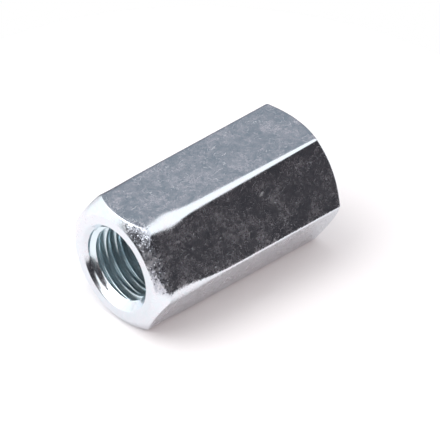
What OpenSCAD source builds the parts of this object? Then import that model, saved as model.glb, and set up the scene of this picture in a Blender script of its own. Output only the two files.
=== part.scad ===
// Hexagonal coupling nut, lying on one flat.
// X runs along the thread axis, from the rounded end to the chamfered end.
// The origin is under the middle of the nut, on the surface it lies on.

/* [Hexagon] */
// Width across flats
across_flats = 17; // [16.5:0.5:22]
// Overall length
length = 31.7; // [18:0.1:60]
// Radius of the six long corners
corner_r = 0.4; // [0.3:0.1:1.2]

/* [Thread] */
// Nominal diameter of the thread
thread_d = 12; // [9:0.5:12]
// Pitch of the thread
thread_pitch = 1.75; // [1:0.25:2.5]
// How much wider than the thread the countersink's mouth is
countersink_over = 0.6; // [0.2:0.1:0.8]
// Included angle of the countersinks
countersink_angle = 90; // [60:5:120]

/* [Rounded end] */
// Width of the flat face ring, beyond the countersink's mouth
near_ring_w = 1.2; // [0.8:0.1:1.4]
// Length of the shoulder, along the axis, up to the corners
shoulder_l = 1.45; // [1.2:0.05:2.2]
// Radius of the shoulder's bulge
shoulder_r = 6; // [4:0.5:12]
// How far the corners are relieved where the shoulder ends
relief_depth = 0.4; // [0.15:0.05:0.5]
// Distance from the end face at which the corner relief has run out
relief_l = 14; // [6:0.5:17]

/* [Chamfered end] */
// Width of the flat face ring, beyond the countersink's mouth
far_ring_w = 1.8; // [1:0.1:2]
// Angle of the chamfer, from the end face
chamfer_angle = 30; // [20:1:40]

/* [Hidden] */
// Number of sides that stands for a true circle
round_fn = 96;
// Number of narrow flats that draw each corner's arc
corner_steps = 4;
// Length by which a cut runs past the surface it opens
over = 1;
half_flats = across_flats / 2;
corner_reach = half_flats / cos(30);
// The tap drill's size is the nominal diameter less one pitch
bore_r = (thread_d - thread_pitch) / 2;
mouth_r = (thread_d + countersink_over) / 2;
countersink_l = (mouth_r - bore_r) / tan(countersink_angle / 2);
near_ring_r = mouth_r + near_ring_w;
far_ring_r = mouth_r + far_ring_w;
relieved_reach = corner_reach - relief_depth;
chamfer_l = (corner_reach - far_ring_r) * tan(chamfer_angle);

// A regular hexagon with a flat towards +X. Each corner is an arc that meets both flats, drawn
// as narrow flats so that it keeps crisp crossings with the turned ends.
module rounded_hexagon() {
    centre_reach = (half_flats - corner_r) / cos(30);
    polygon([for (i = [0:5], step = [0:corner_steps])
        let (corner = 30 + 60 * i, turn = corner - 30 + 60 * step / corner_steps)
        [centre_reach * cos(corner) + corner_r * cos(turn),
         centre_reach * sin(corner) + corner_r * sin(turn)]]);
}

// The half section that is turned: radius across, length up. The shoulder's arc is cut from it.
module turned_section() {
    // The arc passes through the face ring's edge and the start of the corner relief
    rise = shoulder_l;
    run = relieved_reach - near_ring_r;
    chord = sqrt(rise * rise + run * run);
    arc_depth = sqrt(shoulder_r * shoulder_r - chord * chord / 4);
    arc_x = near_ring_r + run / 2 - arc_depth * rise / chord;
    arc_y = rise / 2 + arc_depth * run / chord;
    difference() {
        polygon([
            [0, 0],
            [relieved_reach, 0],
            [relieved_reach, shoulder_l],
            [corner_reach, relief_l],
            [corner_reach, length - chamfer_l],
            [far_ring_r, length],
            [0, length]
        ]);
        difference() {
            translate([near_ring_r, -over])
                square([run + over, rise + over]);
            translate([arc_x, arc_y])
                circle(r = shoulder_r, $fn = round_fn);
        }
    }
}

// The plain tapped hole at its crest radius, with a countersink at each end.
module threaded_bore() {
    translate([0, 0, -over])
        cylinder(r = bore_r, h = length + 2 * over, $fn = round_fn);
    for (end = [0, 1])
        translate([0, 0, end * length])
            mirror([0, 0, end])
                cylinder(r1 = mouth_r, r2 = bore_r, h = countersink_l, $fn = round_fn);
}

// The nut: hexagonal bar, turned at both ends, drilled and countersunk.
module coupling_nut() {
    color([0.78, 0.80, 0.83])
        translate([-length / 2, 0, half_flats])
            rotate([0, 90, 0])
                difference() {
                    intersection() {
                        linear_extrude(height = length)
                            rounded_hexagon();
                        rotate_extrude($fn = round_fn)
                            turned_section();
                    }
                    threaded_bore();
                }
}

coupling_nut();
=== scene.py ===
"""The looks of a long hexagonal coupling nut in bright zinc-plated steel.

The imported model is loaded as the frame. One closed mesh with a true screw thread, softened corners
and plated finishes stands for its solid. Lengths are in metres, in the frame's own axes: +X runs
along the thread from the rounded end to the chamfered end, and +Z is up.
"""

from __future__ import annotations

import logging
import math
from dataclasses import dataclass, field
from enum import Enum
from typing import Any, Callable, Iterable, Sequence

import bmesh
import bpy
from mathutils import Matrix, Vector


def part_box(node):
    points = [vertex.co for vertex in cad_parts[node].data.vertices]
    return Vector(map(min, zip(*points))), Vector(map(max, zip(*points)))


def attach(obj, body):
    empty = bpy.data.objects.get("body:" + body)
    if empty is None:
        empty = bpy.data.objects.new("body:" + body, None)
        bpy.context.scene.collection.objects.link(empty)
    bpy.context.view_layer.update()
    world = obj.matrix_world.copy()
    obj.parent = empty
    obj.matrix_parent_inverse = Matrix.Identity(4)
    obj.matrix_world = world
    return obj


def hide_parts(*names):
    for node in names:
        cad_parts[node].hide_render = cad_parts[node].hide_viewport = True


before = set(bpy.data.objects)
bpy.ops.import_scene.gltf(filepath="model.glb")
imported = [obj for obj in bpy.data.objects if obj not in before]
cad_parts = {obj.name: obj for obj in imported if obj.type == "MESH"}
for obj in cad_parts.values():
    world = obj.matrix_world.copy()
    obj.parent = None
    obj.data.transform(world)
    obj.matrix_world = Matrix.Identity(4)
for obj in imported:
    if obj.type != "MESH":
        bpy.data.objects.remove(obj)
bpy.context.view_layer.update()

LOG = logging.getLogger("coupling_nut")
NODE = "coupling_nut"
BODY = "root"
MM = 0.001
SIDES = 6
SIDE_ANGLE = math.tau / SIDES
WELD = 1e-7


class Hand(Enum):
    """Which way a thread winds: the sign of its advance along +X for a turn from +Y to +Z."""

    RIGHT = 1
    LEFT = -1


class Region(Enum):
    """The material index of each stretch of the nut's surface."""

    OUTSIDE = 0
    THREAD = 1


def smooth_min(first: float, second: float, width: float) -> float:
    """Gives the smaller of two lengths, rounded where they are nearly equal.

    Args:
        first: One length.
        second: The other length.
        width: The difference within which the result is rounded.

    Returns:
        The rounded minimum, which is exact outside that difference.
    """
    overlap = max(width - abs(first - second), 0.0)
    return min(first, second) - overlap * overlap / (4 * width)


def smooth_max(first: float, second: float, width: float) -> float:
    """Gives the larger of two lengths, rounded where they are nearly equal.

    Args:
        first: One length.
        second: The other length.
        width: The difference within which the result is rounded.

    Returns:
        The rounded maximum, which is exact outside that difference.
    """
    return -smooth_min(-first, -second, width)


def between(start: float, end: float, count: int, ease: float = 1.0) -> list[float]:
    """Lists places from start to end, without start.

    Args:
        start: The place that the stretch leaves.
        end: The last place of the stretch.
        count: How many places to give.
        ease: Above 1 crowds them towards the start, and below 1 towards the end.

    Returns:
        The places, in order.
    """
    return [start + (end - start) * ((i + 1) / count) ** ease for i in range(count)]


def draw_section(bm: bmesh.types.BMesh, points: Sequence[tuple[float, float]]) -> list[Any]:
    """Draws a half section by extruding one vertex from point to point.

    Args:
        bm: The mesh to draw in.
        points: Pairs of place along the axis and radius.

    Returns:
        The vertices and edges drawn, ready to spin.
    """
    tip = bm.verts.new((points[0][0], 0.0, points[0][1]))
    drawn: list[Any] = [tip]
    for x, radius in points[1:]:
        made = bmesh.ops.extrude_vert_indiv(bm, verts=[tip])
        tip = made["verts"][0]
        tip.co = Vector((x, 0.0, radius))
        drawn += made["verts"] + made["edges"]
    return drawn


def move_polar(
    vertices: Iterable[bmesh.types.BMVert],
    rule: Callable[[float, float, float], tuple[float, float, float]],
) -> None:
    """Moves vertices by a rule in place along the axis, angle and radius.

    Args:
        vertices: What to move.
        rule: Takes x, the angle from +Y towards +Z and the radius, and gives their new values.
    """
    for vertex in vertices:
        x, y, z = vertex.co
        x, angle, radius = rule(x, math.atan2(z, y), math.hypot(y, z))
        vertex.co = Vector((x, radius * math.cos(angle), radius * math.sin(angle)))


@dataclass(frozen=True)
class Corner:
    """How the rounding of one long corner changes along the nut."""

    end_radius: float = 0.45 * MM
    growth: float = 0.9 * MM
    flare: float = 1.5 * MM
    flare_place: float = 4.2 * MM
    flare_length: float = 2.6 * MM

    def radius(self, x: float, length: float) -> float:
        """Gives the corner's radius.

        Args:
            x: The distance from the rounded end's face.
            length: The nut's length.

        Returns:
            The radius of the rounding there.
        """
        even = self.end_radius + self.growth * (1 - x / length)
        past = (x - self.flare_place) / self.flare_length
        return even + self.flare * math.exp(-past * past)


@dataclass
class HexagonalBody:
    """The outside: hexagonal bar, with a rounded shoulder at one end and a chamfer at the other."""

    length: float
    half_flats: float
    mouth_radius: float
    countersink_slope: float
    near_ring: float = 7.5 * MM
    far_ring: float = 8.1 * MM
    shoulder_length: float = 1.45 * MM
    shoulder_reach: float = 9.415 * MM
    shoulder_radius: float = 6.0 * MM
    chamfer_length: float = 0.99 * MM
    near_softness: float = 0.12 * MM
    far_softness: float = 0.3 * MM
    mouth_softness: float = 0.07 * MM
    cone_depth: float = 0.2 * MM
    columns: int = 240
    crowding: float = 0.8
    corners: Sequence[Corner] = field(default_factory=lambda: [Corner()] * SIDES)
    crossings: dict[float, tuple[float, float]] = field(default_factory=dict)

    @property
    def sharp_reach(self) -> float:
        """The distance from the axis to a corner before it is rounded."""
        return self.half_flats / math.cos(SIDE_ANGLE / 2)

    def hexagon(self, angle: float, x: float) -> float:
        """Gives the hexagon's radius, with its corners rounded.

        Args:
            angle: The angle from +Y towards +Z.
            x: The distance from the rounded end's face.

        Returns:
            The distance from the axis to the surface.
        """
        nearest = round(angle / SIDE_ANGLE)
        turn = abs(angle - nearest * SIDE_ANGLE)
        rounding = self.corners[nearest % SIDES].radius(x, self.length)
        centre = (self.half_flats - rounding) / math.cos(SIDE_ANGLE / 2)
        half_side = SIDE_ANGLE / 2
        reach = centre + rounding * math.cos(half_side)
        tangent = math.atan2(rounding * math.sin(half_side), reach)
        if turn >= tangent:
            return self.half_flats / math.cos(half_side - turn)
        across = centre * math.sin(turn)
        return centre * math.cos(turn) + math.sqrt(rounding * rounding - across * across)

    def shoulder(self, x: float) -> float:
        """Gives the radius of the turned shoulder, whose arc runs on past the corners.

        Args:
            x: The distance from the rounded end's face.

        Returns:
            The distance from the axis to the shoulder.
        """
        run = self.shoulder_reach - self.near_ring
        chord = math.hypot(self.shoulder_length, run)
        depth = math.sqrt(self.shoulder_radius**2 - chord**2 / 4)
        arc_radius = self.near_ring + run / 2 - depth * self.shoulder_length / chord
        arc_x = self.shoulder_length / 2 + depth * run / chord
        if x >= arc_x:
            return arc_radius + self.shoulder_radius
        return arc_radius + math.sqrt(self.shoulder_radius**2 - (x - arc_x) ** 2)

    def chamfer(self, x: float) -> float:
        """Gives the radius of the turned chamfer's cone.

        Args:
            x: The distance from the rounded end's face.

        Returns:
            The distance from the axis to the cone.
        """
        slope = (self.sharp_reach - self.far_ring) / self.chamfer_length
        return self.far_ring + (self.length - x) * slope

    def outside(self, angle: float, x: float) -> float:
        """Gives the radius of the finished outside, with its crossings softened.

        Args:
            angle: The angle from +Y towards +Z.
            x: The distance from the rounded end's face.

        Returns:
            The distance from the axis to the surface.
        """
        turned = min(self.shoulder(x), self.chamfer(x))
        widest = self.near_softness if x < self.length / 2 else self.far_softness
        softness = min(widest, 4 * x, 4 * (self.length - x))
        return smooth_min(turned, self.hexagon(angle, x), max(softness, WELD))

    def crossing(self, angle: float) -> tuple[float, float]:
        """Finds where the turned ends cross the hexagon.

        Args:
            angle: The angle from +Y towards +Z.

        Returns:
            The place of the shoulder's crossing and that of the chamfer's.
        """
        key = round(angle, 5)
        if key not in self.crossings:
            low, high = 0.0, 3 * self.shoulder_length
            for _ in range(30):
                middle = (low + high) / 2
                if self.shoulder(middle) < self.hexagon(angle, middle):
                    low = middle
                else:
                    high = middle
            near = (low + high) / 2
            low, high = self.length - 2 * self.chamfer_length, self.length
            for _ in range(30):
                middle = (low + high) / 2
                if self.chamfer(middle) > self.hexagon(angle, middle):
                    low = middle
                else:
                    high = middle
            self.crossings[key] = (near, (low + high) / 2)
        return self.crossings[key]

    def form(self, x: float, angle: float, radius: float) -> tuple[float, float, float]:
        """Forms the spun surface to the bar: rows slide to crossings, and columns to corners.

        Args:
            x: The vertex's distance from the rounded end's face.
            angle: Its angle from +Y towards +Z.
            radius: Its distance from the axis.

        Returns:
            The same three, moved.
        """
        turn = angle - round(angle / SIDE_ANGLE) * SIDE_ANGLE
        angle -= self.crowding / SIDES * math.sin(SIDES * turn)
        if not WELD < x < self.length - WELD or radius < self.near_ring:
            return x, angle, radius
        near, far = self.crossing(angle)
        chamfer_start = self.length - self.chamfer_length
        if x < self.shoulder_length:
            x *= near / self.shoulder_length
        elif x > chamfer_start:
            x = far + (x - chamfer_start) * (self.length - far) / self.chamfer_length
        else:
            share = (x - self.shoulder_length) / (chamfer_start - self.shoulder_length)
            x = near + share * (far - near)
        return x, angle, self.outside(angle, x)

    def mouth(self, ring: float) -> list[tuple[float, float]]:
        """Draws one end's mouth: up the countersink, over its soft edge and out across the ring.

        Args:
            ring: The radius at which the flat ring ends.

        Returns:
            Pairs of depth below the face and radius.
        """
        soft = self.mouth_softness
        cone = [(self.cone_depth, self.mouth_radius - self.cone_depth * self.countersink_slope)]
        edge = []
        for step in range(5):
            share = step / 4
            inward = soft * (1 - share) ** 2
            edge.append((inward, self.mouth_radius - inward + soft * share**2))
        start = edge[-1][1]
        support = 0.05 * MM
        across = [(0.0, r) for r in between(start, ring - support, 4)]
        return cone + edge + across

    def section(self) -> list[tuple[float, float]]:
        """Lists the half section's points from one mouth round the outside to the other."""
        near = self.mouth(self.near_ring) + [(0.0, self.near_ring)]
        shoulder = [(x, self.shoulder(x)) for x in between(0.0, self.shoulder_length, 26, 0.75)]
        body_end = self.length - self.chamfer_length
        middle = (self.shoulder_length + body_end) / 2
        first = between(self.shoulder_length, middle, 30, 2.2)
        second = [self.length - self.chamfer_length + self.shoulder_length - x for x in first]
        places = first + second[-2::-1] + [body_end]
        flats = [(x, self.sharp_reach) for x in places]
        chamfer = [(x, self.chamfer(x)) for x in between(body_end, self.length, 16, 1.3)]
        far = [(self.length - depth, r) for depth, r in reversed(self.mouth(self.far_ring))]
        return near + shoulder + flats + chamfer + far

    def build(self) -> bmesh.types.BMesh:
        """Spins the half section and forms it to the hexagon.

        Returns:
            The open shell, from one mouth to the other, on its own axis.
        """
        bm = bmesh.new()
        drawn = draw_section(bm, self.section())
        bmesh.ops.spin(
            bm,
            geom=drawn,
            cent=(0, 0, 0),
            axis=(1, 0, 0),
            angle=math.tau,
            steps=self.columns,
            use_merge=True,
        )
        move_polar(bm.verts, self.form)
        return bm


@dataclass
class ThreadedBore:
    """The tapped hole, with its screw thread and both countersinks."""

    length: float
    mouth_radius: float
    countersink_slope: float
    crest_radius: float = 5.125 * MM
    root_radius: float = 6.0 * MM
    pitch: float = 1.75 * MM
    flank_angle: float = math.radians(30)
    first_crest: float = 1.34 * MM
    hand: Hand = Hand.RIGHT
    crest_softness: float = 0.05 * MM
    root_softness: float = 0.12 * MM
    cone_depth: float = 0.28 * MM
    run_out: tuple[float, float] = (0.35 * MM, 1.25 * MM)
    steps: int = 128

    @property
    def crest_width(self) -> float:
        """The width of the flat left on each crest."""
        groove_root = self.pitch / 8
        flank = (self.root_radius - self.crest_radius) * math.tan(self.flank_angle)
        return self.pitch - groove_root - 2 * flank

    def thread(self, along: float) -> float:
        """Gives the thread's radius.

        Args:
            along: The distance past a crest's near edge, within one pitch.

        Returns:
            The distance from the axis to the thread's surface.
        """
        into_groove = min(along - self.crest_width, self.pitch - along)
        flank = self.crest_radius + into_groove / math.tan(self.flank_angle)
        inside = smooth_min(flank, self.root_radius, self.root_softness)
        return smooth_max(inside, self.crest_radius, self.crest_softness)

    def places(self) -> list[float]:
        """Lists the profile's places in one pitch, crowded at the crest's edges and the root."""
        edge = 0.03 * MM
        crest_end = self.crest_width
        flank = (self.pitch - crest_end - self.pitch / 8) / 2
        root = crest_end + flank
        crest = [edge, crest_end / 2, crest_end - edge, crest_end, crest_end + edge]
        down = between(crest_end + edge, root - edge, 5)
        bottom = between(root - edge, root + self.pitch / 8 + edge, 4)
        up = between(root + self.pitch / 8 + edge, self.pitch - edge, 5)
        return [0.0] + crest + down + bottom + up

    def countersink(self, x: float) -> float:
        """Gives the radius of the nearer countersink.

        Args:
            x: The distance from the rounded end's face.

        Returns:
            The distance from the axis to its cone.
        """
        depth = min(x, self.length - x)
        return self.mouth_radius - depth * self.countersink_slope

    def form(self, x: float, angle: float, radius: float) -> tuple[float, float, float]:
        """Cuts the countersinks, and lets the first groove run out into them.

        Args:
            x: The vertex's distance from the rounded end's face.
            angle: Its angle from +Y towards +Z.
            radius: Its distance from the axis.

        Returns:
            The same three, with the new radius.
        """
        cone = self.countersink(x)
        start, end = self.run_out
        kept = min(max((min(x, self.length - x) - start) / (end - start), 0.0), 1.0)
        if radius > cone > self.crest_radius:
            return x, angle, cone + kept * (radius - cone)
        return x, angle, max(radius, cone)

    def build(self) -> bmesh.types.BMesh:
        """Winds the thread's profile, trims it to the nut and cuts the countersinks.

        Returns:
            The open wall, which ends in a true circle on each countersink, on the nut's own axis.
        """
        bm = bmesh.new()
        turns = int(self.length / self.pitch) + 4
        start = self.first_crest - 3 * self.pitch
        profile = [
            (start + turn * self.pitch + along, self.thread(along))
            for turn in range(turns + 1)
            for along in self.places()
        ]
        drawn = draw_section(bm, profile)
        quarter = self.hand.value * self.pitch / 4
        bmesh.ops.translate(bm, verts=bm.verts[:], vec=(quarter, 0, 0))
        bmesh.ops.spin(
            bm,
            geom=drawn,
            cent=(0, 0, 0),
            dvec=(self.hand.value * self.pitch / self.steps, 0, 0),
            axis=(1, 0, 0),
            angle=math.tau,
            steps=self.steps,
            use_merge=False,
        )
        bmesh.ops.remove_doubles(bm, verts=bm.verts[:], dist=10 * WELD)
        for place, outward in ((self.cone_depth, -1), (self.length - self.cone_depth, 1)):
            bmesh.ops.bisect_plane(
                bm,
                geom=bm.verts[:] + bm.edges[:] + bm.faces[:],
                dist=WELD,
                plane_co=(place, 0, 0),
                plane_no=(outward, 0, 0),
                clear_outer=True,
            )
        self.refine_mouths(bm)
        move_polar(bm.verts, self.form)
        return bm

    def refine_mouths(self, bm: bmesh.types.BMesh) -> None:
        """Divides the faces where a countersink crosses the thread, so that their edge is clean.

        Args:
            bm: The wall, before its countersinks are cut.
        """
        reach = (self.mouth_radius - self.crest_radius) / self.countersink_slope + 0.1 * MM
        close = [
            edge
            for edge in bm.edges
            if all(min(v.co.x, self.length - v.co.x) < reach for v in edge.verts)
            and not edge.is_boundary
        ]
        bmesh.ops.subdivide_edges(bm, edges=close, cuts=1, use_grid_fill=True)


class Graph:
    """A short way to add and wire nodes in one shader tree."""

    def __init__(self, tree: bpy.types.NodeTree) -> None:
        """Keeps the tree that nodes are added to."""
        self.tree = tree

    def add(
        self,
        kind: str,
        inputs: dict[str | int, Any] | None = None,
        output: str | int = 0,
        **settings: Any,
    ) -> bpy.types.NodeSocket:
        """Adds a node.

        Args:
            kind: The node's type, without its ShaderNode prefix.
            inputs: What goes in each input, by name or number: a socket or a constant.
            output: The output to give back.
            settings: The node's own settings.

        Returns:
            The chosen output socket.
        """
        made = self.tree.nodes.new("ShaderNode" + kind)
        for name, value in settings.items():
            setattr(made, name, value)
        for name, value in (inputs or {}).items():
            if isinstance(value, bpy.types.NodeSocket):
                self.tree.links.new(value, made.inputs[name])
            else:
                made.inputs[name].default_value = value
        return made.outputs[output] if len(made.outputs) else made.inputs[0]

    def math(self, operation: str, *values: Any, clamp: bool = False) -> bpy.types.NodeSocket:
        """Adds a Math node.

        Args:
            operation: What it does.
            values: Its inputs, as sockets or numbers.
            clamp: Whether the result is kept between 0 and 1.

        Returns:
            Its output.
        """
        return self.add("Math", dict(enumerate(values)), operation=operation, use_clamp=clamp)

    def blend(self, factor: Any, first: Any, second: Any) -> bpy.types.NodeSocket:
        """Mixes two colours.

        Args:
            factor: How far the result goes from the first to the second.
            first: One colour.
            second: The other colour.

        Returns:
            The mixed colour.
        """
        inputs = {0: factor, 6: first, 7: second}
        return self.add("Mix", inputs, output=2, data_type="RGBA")

    def step(self, value: Any, low: float, high: float) -> bpy.types.NodeSocket:
        """Turns a value into a mask.

        Args:
            value: The value.
            low: Where the mask is 0.
            high: Where it is 1, above or below low.

        Returns:
            The mask, which rises smoothly between them.
        """
        inputs = {"Value": value, "From Min": low, "From Max": high}
        return self.add("MapRange", inputs, interpolation_type="SMOOTHSTEP")


def new_group(name: str, inputs: dict[str, float | None], output: str) -> tuple[Any, Graph]:
    """Starts a shader node group.

    Args:
        name: The group's name.
        inputs: Each input's name and its default, or None for a vector.
        output: The name of what it puts out: a vector if that is Normal, and otherwise a value.

    Returns:
        The group and the graph to fill it with.
    """
    group = bpy.data.node_groups.new(name, "ShaderNodeTree")
    for label, default in inputs.items():
        kind = "NodeSocketVector" if default is None else "NodeSocketFloat"
        socket = group.interface.new_socket(name=label, in_out="INPUT", socket_type=kind)
        if default is not None:
            socket.default_value = default
    kind = "NodeSocketVector" if output == "Normal" else "NodeSocketFloat"
    group.interface.new_socket(name=output, in_out="OUTPUT", socket_type=kind)
    return group, Graph(group)


def cloud_group() -> bpy.types.NodeTree:
    """Makes the group for the plating's cloudy patches and their fibrous grain, from 0 to 1."""
    sizes = {"Vector": None, "Scale": 0.3, "Contrast": 1.6, "Fine Scale": 1.8, "Fine Contrast": 1.8}
    group, graph = new_group("plating_clouds", sizes, "Mask")
    into = group.nodes.new("NodeGroupInput").outputs
    mask: Any = 0.5
    for prefix, detail in (("", 5.0), ("Fine ", 3.0)):
        inputs = {"Vector": into["Vector"], "Scale": into[prefix + "Scale"], "Detail": detail}
        noise = graph.add("TexNoise", inputs | {"Roughness": 0.65, "Distortion": 0.6})
        centred = graph.math("SUBTRACT", noise, 0.5)
        spread = graph.math("MULTIPLY", centred, into[prefix + "Contrast"])
        mask = graph.math("ADD", spread, mask)
    mask = graph.math("ADD", mask, 0.0, clamp=True)
    graph.tree.links.new(mask, group.nodes.new("NodeGroupOutput").inputs["Mask"])
    return group


def scratch_group() -> bpy.types.NodeTree:
    """Makes the group for short curved scratches, one in each cell and each at its own slant."""
    sizes = {"Vector": None, "Cells": 0.6, "Reach": 0.5, "Width": 0.02}
    sizes |= {"Bend": 0.4, "Strength": 1.0}
    group, graph = new_group("handling_scratches", sizes, "Mask")
    into = group.nodes.new("NodeGroupInput").outputs
    sway = graph.add("TexNoise", {"Vector": into["Vector"], "Scale": 1.3, "Detail": 0.0}, "Color")
    shift = graph.add("VectorMath", {0: sway, "Scale": into["Bend"]}, operation="SCALE")
    bent = graph.add("VectorMath", {0: into["Vector"], 1: shift}, operation="ADD")
    cell = graph.add("TexVoronoi", {"Vector": bent, "Scale": into["Cells"]}, output="Position")
    shade = graph.add("TexVoronoi", {"Vector": bent, "Scale": into["Cells"]}, output="Color")
    local = graph.add("VectorMath", {0: bent, 1: cell}, operation="SUBTRACT")
    spin = graph.add("VectorMath", {0: shade, "Scale": math.tau}, operation="SCALE")
    inputs = {"Vector": local, "Rotation": spin}
    turned = graph.add("VectorRotate", inputs, rotation_type="EULER_XYZ")
    parts = graph.add("SeparateXYZ", {0: turned}).node.outputs
    along = graph.math("ABSOLUTE", parts["X"])
    across = graph.math("ABSOLUTE", parts["Y"])
    lasting = graph.math("SUBTRACT", 1.0, graph.math("DIVIDE", along, into["Reach"]), clamp=True)
    thin = graph.math("SUBTRACT", 1.0, graph.math("DIVIDE", across, into["Width"]), clamp=True)
    chance = graph.add("SeparateXYZ", {0: shade}, "Z")
    mask = graph.math("MULTIPLY", lasting, thin)
    mask = graph.math("MULTIPLY", mask, graph.math("MULTIPLY", chance, into["Strength"]))
    graph.tree.links.new(mask, group.nodes.new("NodeGroupOutput").inputs["Mask"])
    return group


def facet_group() -> bpy.types.NodeTree:
    """Makes the group for the plating's crystals: each leans its own way, and a few lean far."""
    sizes = {"Vector": None, "Scale": 7.0, "Lean": 0.4, "Rarity": 2.0}
    group, graph = new_group("plating_facets", sizes, "Normal")
    into = group.nodes.new("NodeGroupInput").outputs
    shade = graph.add("TexVoronoi", {"Vector": into["Vector"], "Scale": into["Scale"]}, "Color")
    centred = graph.add("VectorMath", {0: shade, 1: (0.5, 0.5, 0.5)}, operation="SUBTRACT")
    chance = graph.add("TexWhiteNoise", {"Vector": shade})
    rare = graph.math("POWER", chance, into["Rarity"])
    lean = graph.math("MULTIPLY", rare, into["Lean"])
    offset = graph.add("VectorMath", {0: centred, "Scale": lean}, operation="SCALE")
    even = graph.add("NewGeometry", output="Normal")
    leaning = graph.add("VectorMath", {0: even, 1: offset}, operation="ADD")
    normal = graph.add("VectorMath", {0: leaning}, operation="NORMALIZE")
    graph.tree.links.new(normal, group.nodes.new("NodeGroupOutput").inputs["Normal"])
    return group


def wear_group() -> bpy.types.NodeTree:
    """Makes the group for how far the crystals lean: most on the worn shoulder, then at -Y.

    Each pair below says, in millimetres, where the wear starts and where it is full. The shoulder's
    pairs also place the painted dark reflection.
    """
    side_reach, side_start = (4.9, 6.4), (-15.3, -14.3)
    shoulder_reach, shoulder_height = (0.5, 3.0), (7.6, 10.4)
    shoulder_end, ring_edge = (-13.2, -14.6), (-15.83, -15.6)
    sizes = {"Vector": None, "Even": 0.1, "Side": 0.35, "Shoulder": 0.8}
    group, graph = new_group("worn_places", sizes, "Lean")
    into = group.nodes.new("NodeGroupInput").outputs
    parts = graph.add("SeparateXYZ", {0: into["Vector"]}).node.outputs
    ahead = graph.math("MULTIPLY", parts["Y"], -1.0)
    beyond = graph.step(parts["X"], *side_start)
    side = graph.math("MULTIPLY", graph.step(ahead, *side_reach), beyond)
    shoulder = graph.step(parts["X"], *shoulder_end)
    for place, pair in (
        (ahead, shoulder_reach),
        (parts["Z"], shoulder_height),
        (parts["X"], ring_edge),
    ):
        shoulder = graph.math("MULTIPLY", shoulder, graph.step(place, *pair))
    lean = graph.add("Mix", {0: side, 2: into["Even"], 3: into["Side"]}, data_type="FLOAT")
    lean = graph.add("Mix", {0: shoulder, 2: lean, 3: into["Shoulder"]}, data_type="FLOAT")
    graph.tree.links.new(lean, group.nodes.new("NodeGroupOutput").inputs["Lean"])
    return group


def peel_group() -> bpy.types.NodeTree:
    """Makes the group for the plating's grain and orange peel, as a height from 0 to 1."""
    sizes = {"Vector": None, "Peel": 2.5, "Grain": 9.0, "Share": 0.6}
    group, graph = new_group("plating_peel", sizes, "Height")
    into = group.nodes.new("NodeGroupInput").outputs
    peel = graph.add("TexNoise", {"Vector": into["Vector"], "Scale": into["Peel"], "Detail": 1.0})
    grain = graph.add("TexNoise", {"Vector": into["Vector"], "Scale": into["Grain"], "Detail": 2.0})
    inputs = {0: into["Share"], 2: peel, 3: grain}
    height = graph.add("Mix", inputs, data_type="FLOAT")
    graph.tree.links.new(height, group.nodes.new("NodeGroupOutput").inputs["Height"])
    return group


@dataclass(frozen=True)
class Effects:
    """The shader node groups that the plated finishes share."""

    clouds: bpy.types.NodeTree
    scratches: bpy.types.NodeTree
    peel: bpy.types.NodeTree
    facets: bpy.types.NodeTree
    wear: bpy.types.NodeTree

    @classmethod
    def make(cls) -> "Effects":
        """Builds each group once."""
        return cls(cloud_group(), scratch_group(), peel_group(), facet_group(), wear_group())


def place_group(
    graph: Graph, group: bpy.types.NodeTree, inputs: dict[str, Any]
) -> bpy.types.NodeSocket:
    """Places a node group in a tree.

    Args:
        graph: The tree to place it in.
        group: The group.
        inputs: Sockets and constants, by input name.

    Returns:
        The group's first output.
    """
    made = graph.tree.nodes.new("ShaderNodeGroup")
    made.node_tree = group
    for name, value in inputs.items():
        if isinstance(value, bpy.types.NodeSocket):
            graph.tree.links.new(value, made.inputs[name])
        else:
            made.inputs[name].default_value = value
    return made.outputs[0]


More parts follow.
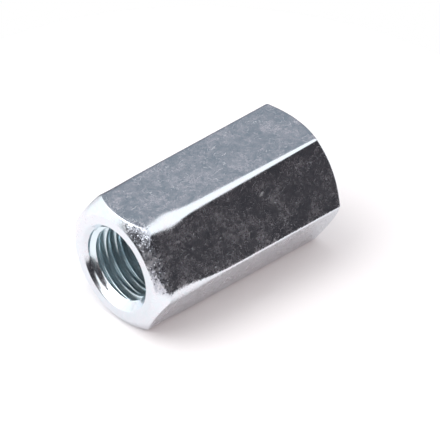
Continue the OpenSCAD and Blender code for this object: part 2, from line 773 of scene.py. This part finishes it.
@dataclass(frozen=True)
class ZincPlating:
    """Bright zinc plating: mottled, grainy and lightly scratched, with a painted dark reflection on
    its shoulder patch.
    """

    name: str
    cool: tuple[float, float, float, float] = (0.75, 0.84, 0.88, 1.0)
    warm: tuple[float, float, float, float] = (0.84, 0.82, 0.87, 1.0)
    scratch: tuple[float, float, float, float] = (0.93, 0.94, 0.96, 1.0)
    cloud_scale: float = 0.35
    roughness: tuple[float, float] = (0.08, 0.30)
    lean_roughness: float = 0.12
    scratch_roughness: float = 0.5
    scratch_cells: float = 1.2
    scratch_reach: float = 0.55
    scratch_width: float = 0.035
    scratch_bend: float = 0.9
    scratch_strength: float = 1.0
    peel_scale: float = 3.5
    grain_scale: float = 11.0
    peel_height: float = 0.008 * MM
    scratch_depth: float = 0.002 * MM
    facet_scale: float = 7.5
    facet_lean: float = 0.05
    worn_lean: float = 0.3
    shoulder_lean: float = 0.75
    # Painted dark reflection: a dull grey that darkens the shoulder patch's colour, and the cloud
    # range where it shows.
    painted_dark_reflection: tuple[float, float, float, float] = (0.52, 0.54, 0.60, 1.0)
    dark_reflection_clouds: tuple[float, float] = (0.85, 0.45)

    def make(self, effects: Effects) -> bpy.types.Material:
        """Makes the material.

        Args:
            effects: The shared node groups.

        Returns:
            The material, patterned on Object coordinates in millimetres.
        """
        material = bpy.data.materials.new(self.name)
        material.use_nodes = True
        tree = material.node_tree
        tree.nodes.clear()
        graph = Graph(tree)
        place = graph.add("TexCoord", output="Object")
        scale = (1 / MM,) * 3
        vector = graph.add("Mapping", {"Vector": place, "Scale": scale})
        clouds = place_group(graph, effects.clouds, {"Vector": vector, "Scale": self.cloud_scale})
        marks = {
            "Vector": vector,
            "Cells": self.scratch_cells,
            "Reach": self.scratch_reach,
            "Width": self.scratch_width,
            "Bend": self.scratch_bend,
            "Strength": self.scratch_strength,
        }
        scratches = place_group(graph, effects.scratches, marks)
        peel_sizes = {"Vector": vector, "Peel": self.peel_scale, "Grain": self.grain_scale}
        peel = place_group(graph, effects.peel, peel_sizes)
        tint = graph.blend(clouds, self.cool, self.warm)
        colour = graph.blend(scratches, tint, self.scratch)
        low, high = self.roughness
        even = graph.add("MapRange", {"Value": clouds, "To Min": low, "To Max": high})
        leans = {
            "Vector": vector,
            "Even": self.facet_lean,
            "Side": self.worn_lean,
            "Shoulder": self.shoulder_lean,
        }
        lean = place_group(graph, effects.wear, leans)
        # Painted dark reflection: on the shoulder patch, where the crystals lean most, the colour
        # turns towards the dull grey in cloudy blotches.
        dark_reflection_mask = graph.step(lean, max(self.worn_lean, 0.01), max(self.shoulder_lean, 0.02))
        dark_reflection_mask = graph.math("MULTIPLY", dark_reflection_mask, graph.step(clouds, *self.dark_reflection_clouds))
        colour = graph.blend(dark_reflection_mask, colour, self.painted_dark_reflection)
        worn = graph.math("ADD", even, graph.math("MULTIPLY", lean, self.lean_roughness))
        roughnesses = {0: scratches, 2: worn, 3: self.scratch_roughness}
        rough = graph.add("Mix", roughnesses, data_type="FLOAT")
        crystals = {"Vector": vector, "Scale": self.facet_scale, "Lean": lean}
        facets = place_group(graph, effects.facets, crystals)
        grain = {"Height": peel, "Distance": self.peel_height, "Strength": 1.0, "Normal": facets}
        rippled = graph.add("Bump", grain)
        marked = graph.add(
            "Bump",
            {"Height": scratches, "Distance": self.scratch_depth, "Normal": rippled},
            invert=True,
        )
        shader = graph.add(
            "BsdfPrincipled",
            {"Base Color": colour, "Metallic": 1.0, "Roughness": rough, "Normal": marked},
        )
        graph.add("OutputMaterial", {"Surface": shader})
        return material


@dataclass
class CouplingNut:
    """The whole nut: its outside and its threaded bore, closed into one mesh."""

    length: float
    half_flats: float
    mouth_radius: float = 6.3 * MM
    countersink_slope: float = 1.0
    smooth_angle: float = math.radians(40)
    cone_margin: float = 0.1 * MM
    outside_finish: ZincPlating = ZincPlating("bright_zinc")
    thread_finish: ZincPlating = ZincPlating(
        "thread_zinc",
        cool=(0.80, 0.92, 0.96, 1.0),
        warm=(0.81, 0.91, 0.96, 1.0),
        roughness=(0.20, 0.26),
        scratch_strength=0.0,
        peel_height=0.002 * MM,
        facet_lean=0.0,
        worn_lean=0.0,
        shoulder_lean=0.0,
    )

    def corners(self) -> list[Corner]:
        """Lists the six long corners, from the one towards +Y round towards +Z."""
        plain = Corner()
        side = Corner(
            end_radius=0.5 * MM,
            growth=0.1 * MM,
            flare=1.9 * MM,
            flare_place=3.4 * MM,
            flare_length=4.5 * MM,
        )
        sharp = Corner(end_radius=0.45 * MM, growth=0.15 * MM, flare=0.5 * MM)
        front = Corner(
            growth=1.45 * MM,
            flare=1.2 * MM,
            flare_place=4.9 * MM,
            flare_length=2.2 * MM,
        )
        return [side, sharp, front, side, plain, plain]

    def build(self, effects: Effects) -> bpy.types.Object:
        """Builds the mesh, dresses it and gives it to the frame.

        Args:
            effects: The shared node groups of the finishes.

        Returns:
            The finished piece.
        """
        outside = HexagonalBody(
            self.length,
            self.half_flats,
            self.mouth_radius,
            self.countersink_slope,
            corners=self.corners(),
        ).build()
        bore = ThreadedBore(self.length, self.mouth_radius, self.countersink_slope).build()
        self.paint(bore)
        mesh = bpy.data.meshes.new("nut_body")
        bore.to_mesh(mesh)
        bore.free()
        outside.from_mesh(mesh)
        self.close(outside)
        matrix = Matrix.Translation((-self.length / 2, 0, self.half_flats))
        bmesh.ops.transform(outside, matrix=matrix, verts=outside.verts[:])
        outside.to_mesh(mesh)
        outside.free()
        mesh.set_sharp_from_angle(angle=self.smooth_angle)
        mesh.materials.append(self.outside_finish.make(effects))
        mesh.materials.append(self.thread_finish.make(effects))
        piece = bpy.data.objects.new("nut_body", mesh)
        bpy.context.scene.collection.objects.link(piece)
        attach(piece, BODY)
        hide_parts(NODE)
        LOG.info("%s: %d faces, %d vertices", piece.name, len(mesh.polygons), len(mesh.vertices))
        return piece

    def paint(self, bore: bmesh.types.BMesh) -> None:
        """Gives the thread its own finish, and leaves the countersinks with the outside's.

        Args:
            bore: The bore's wall.
        """
        for face in bore.faces:
            middle = face.calc_center_median()
            depth = min(middle.x, self.length - middle.x)
            cone = self.mouth_radius - depth * self.countersink_slope
            on_cone = math.hypot(middle.y, middle.z) < cone + self.cone_margin
            face.material_index = (Region.OUTSIDE if on_cone else Region.THREAD).value

    def close(self, bm: bmesh.types.BMesh) -> None:
        """Joins the outside to the bore at both mouths, and checks that the mesh is closed.

        Args:
            bm: The mesh that holds both open surfaces.

        Raises:
            ValueError: If an edge is left open.
        """
        rims = [edge for edge in bm.edges if edge.is_boundary]
        for near in (True, False):
            pair = [e for e in rims if (e.verts[0].co.x < self.length / 2) == near]
            bmesh.ops.bridge_loops(bm, edges=pair)
        bmesh.ops.triangulate(bm, faces=[f for f in bm.faces if len(f.verts) > 4])
        bmesh.ops.recalc_face_normals(bm, faces=bm.faces[:])
        for face in bm.faces:
            face.smooth = True
        left_open = sum(not edge.is_manifold for edge in bm.edges)
        if left_open:
            raise ValueError(f"the nut has {left_open} open edges")
        LOG.info("closed, volume %.1f cubic millimetres", bm.calc_volume(signed=True) / MM**3)


@dataclass(frozen=True)
class Screen:
    """A soft-edged stretch of the studio's walls, up to a height above the horizon.

    Angles are in degrees. The heading runs from +X towards +Y, and each pair gives where the
    screen's full colour ends and where it has faded out.
    """

    heading: float
    width: tuple[float, float]
    top: tuple[float, float]
    colour: tuple[float, float, float, float]

    def mask(self, graph: Graph, heading: Any, height: Any) -> bpy.types.NodeSocket:
        """Makes the screen's mask over the world.

        Args:
            graph: The world's tree.
            heading: The level direction looked in.
            height: The sine of the height above the horizon.

        Returns:
            The mask, from 0 to 1.
        """
        turn = math.radians(self.heading)
        middle = (math.cos(turn), math.sin(turn), 0.0)
        facing = graph.add("VectorMath", {0: heading, 1: middle}, "Value", operation="DOT_PRODUCT")
        full, end = (math.cos(math.radians(angle)) for angle in self.width)
        beside = graph.step(facing, end, full)
        full, end = (math.sin(math.radians(angle)) for angle in self.top)
        above = graph.step(height, full, end)
        return graph.math("MULTIPLY", beside, graph.math("SUBTRACT", 1.0, above))


@dataclass
class Studio:
    """A pale floor and soft light, with the shaded front that plated metal reflects."""

    floor_radius: float = 0.055
    floor_place: tuple[float, float, float] = (0.0, 0.0, 0.0)
    floor_colour: tuple[float, float, float, float] = (0.93, 0.915, 0.92, 1.0)
    floor_glow: float = 0.06
    level: tuple[float, float, float, float] = (1.21, 1.225, 1.245, 1.0)
    screens: Sequence[Screen] = (
        Screen(50.0, (28.0, 48.0), (44.5, 50.0), (0.275, 0.297, 0.342, 1.0)),
        Screen(60.0, (28.0, 48.0), (2.0, 26.0), (0.15, 0.15, 0.17, 1.0)),
        Screen(-112.0, (88.0, 100.0), (29.0, 36.0), (0.040, 0.037, 0.043, 1.0)),
    )
    front_shade: Screen = Screen(-94.0, (38.0, 62.0), (58.0, 76.0), (0.86, 0.72, 0.69, 1.0))
    lamp_place: tuple[float, float, float] = (-0.38, 0.24, 0.60)
    lamp_size: float = 0.85
    lamp_power: float = 2.8

    def build(self) -> None:
        """Makes the world, the floor and the lamp."""
        self.surround()
        self.floor()
        self.lamp()
        view = bpy.context.scene.view_settings
        view.view_transform = "Standard"

    def surround(self) -> None:
        """Makes the world: white to the camera, and a soft studio to everything else."""
        world = bpy.data.worlds.new("studio")
        world.use_nodes = True
        world.node_tree.nodes.clear()
        graph = Graph(world.node_tree)
        toward = graph.add("TexCoord", output="Generated")
        level = graph.add("VectorMath", {0: toward, 1: (1.0, 1.0, 0.0)}, operation="MULTIPLY")
        heading = graph.add("VectorMath", {0: level}, operation="NORMALIZE")
        height = graph.add("SeparateXYZ", {0: toward}, output="Z")
        colour: Any = self.level
        for screen in self.screens:
            colour = graph.blend(screen.mask(graph, heading, height), colour, screen.colour)
        paths = graph.add("LightPath").node.outputs
        shade = self.front_shade.mask(graph, heading, height)
        matt = graph.math("SUBTRACT", 1.0, paths["Is Glossy Ray"])
        unmirrored = graph.math("MULTIPLY", shade, matt)
        colour = graph.blend(unmirrored, colour, self.front_shade.colour)
        shown = graph.blend(paths["Is Camera Ray"], colour, (1.0, 1.0, 1.0, 1.0))
        light = graph.add("Background", {"Color": shown, "Strength": 1.0})
        graph.add("OutputWorld", {"Surface": light})
        bpy.context.scene.world = world

    def floor(self) -> None:
        """Makes the round floor, which glows a little to the camera so that it reads as white."""
        bm = bmesh.new()
        bmesh.ops.create_circle(bm, cap_ends=True, segments=96, radius=self.floor_radius)
        mesh = bpy.data.meshes.new("floor")
        bm.to_mesh(mesh)
        bm.free()
        material = bpy.data.materials.new("pale_floor")
        material.use_nodes = True
        material.node_tree.nodes.clear()
        graph = Graph(material.node_tree)
        matt = graph.add("BsdfDiffuse", {"Color": self.floor_colour})
        seen = graph.add("LightPath", output="Is Camera Ray")
        strength = graph.math("MULTIPLY", seen, self.floor_glow)
        glow = graph.add("Emission", {"Color": (1.0, 1.0, 1.0, 1.0), "Strength": strength})
        both = graph.add("AddShader", {0: matt, 1: glow})
        graph.add("OutputMaterial", {"Surface": both})
        mesh.materials.append(material)
        floor = bpy.data.objects.new("floor", mesh)
        floor.location = self.floor_place
        bpy.context.scene.collection.objects.link(floor)
        LOG.info("floor: radius %.3f m", self.floor_radius)

    def lamp(self) -> None:
        """Hangs one large soft lamp, up behind and to the left."""
        data = bpy.data.lights.new("soft_lamp", "AREA")
        data.shape = "DISK"
        data.size = self.lamp_size
        data.energy = self.lamp_power
        lamp = bpy.data.objects.new("soft_lamp", data)
        lamp.location = self.lamp_place
        lamp.rotation_mode = "QUATERNION"
        lamp.rotation_quaternion = Vector(self.lamp_place).to_track_quat("Z", "Y")
        bpy.context.scene.collection.objects.link(lamp)


@dataclass
class PhotoCamera:
    """The camera at the photograph's angle, from a least-squares fit to the nut's edges."""

    across_flats: float
    turn: float = math.radians(42.012)
    elevation: float = math.radians(39.480)
    roll: float = math.radians(-1.006)
    along_axis: float = 0.9
    pixels_per_flats: float = 130.31
    nut_pixel: tuple[float, float] = (202.58, 219.81)
    image_pixels: float = 440.0
    distance_in_flats: float = 80.0
    sensor_width: float = 36.0

    def build(self, near_face: Vector) -> bpy.types.Object:
        """Makes the scene's camera.

        Args:
            near_face: The middle of the rounded end's face.

        Returns:
            The camera.
        """
        ahead = Vector((math.sin(self.turn), math.cos(self.turn), 0.0))
        level_right = Vector((math.cos(self.turn), -math.sin(self.turn), 0.0))
        up = Vector((0.0, 0.0, 1.0))
        forward = ahead * math.cos(self.elevation) - up * math.sin(self.elevation)
        level_up = ahead * math.sin(self.elevation) + up * math.cos(self.elevation)
        right = level_right * math.cos(self.roll) - level_up * math.sin(self.roll)
        above = level_right * math.sin(self.roll) + level_up * math.cos(self.roll)
        target = near_face + Vector((self.along_axis * self.across_flats, 0.0, 0.0))
        pixel = self.across_flats / self.pixels_per_flats
        middle = self.image_pixels / 2
        target += right * (middle - self.nut_pixel[0]) * pixel
        target += above * (self.nut_pixel[1] - middle) * pixel
        distance = self.distance_in_flats * self.across_flats
        data = bpy.data.cameras.new("camera")
        data.sensor_width = self.sensor_width
        data.lens = self.sensor_width * distance / (self.image_pixels * pixel)
        data.clip_start = distance / 100
        data.clip_end = distance * 10
        camera = bpy.data.objects.new("camera", data)
        axes = Matrix((right, above, -forward)).transposed()
        camera.matrix_world = Matrix.Translation(target - forward * distance) @ axes.to_4x4()
        bpy.context.scene.collection.objects.link(camera)
        bpy.context.scene.camera = camera
        LOG.info("camera: lens %.1f mm", data.lens)
        return camera


def main() -> None:
    """Builds the nut, its studio and its camera."""
    logging.basicConfig(level=logging.INFO, format="%(name)s: %(message)s")
    low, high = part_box(NODE)
    length = high.x - low.x
    across_flats = high.z - low.z
    PhotoCamera(across_flats).build(Vector((low.x, 0.0, across_flats / 2)))
    CouplingNut(length, across_flats / 2).build(Effects.make())
    Studio().build()


if __name__ == "__main__":
    main()
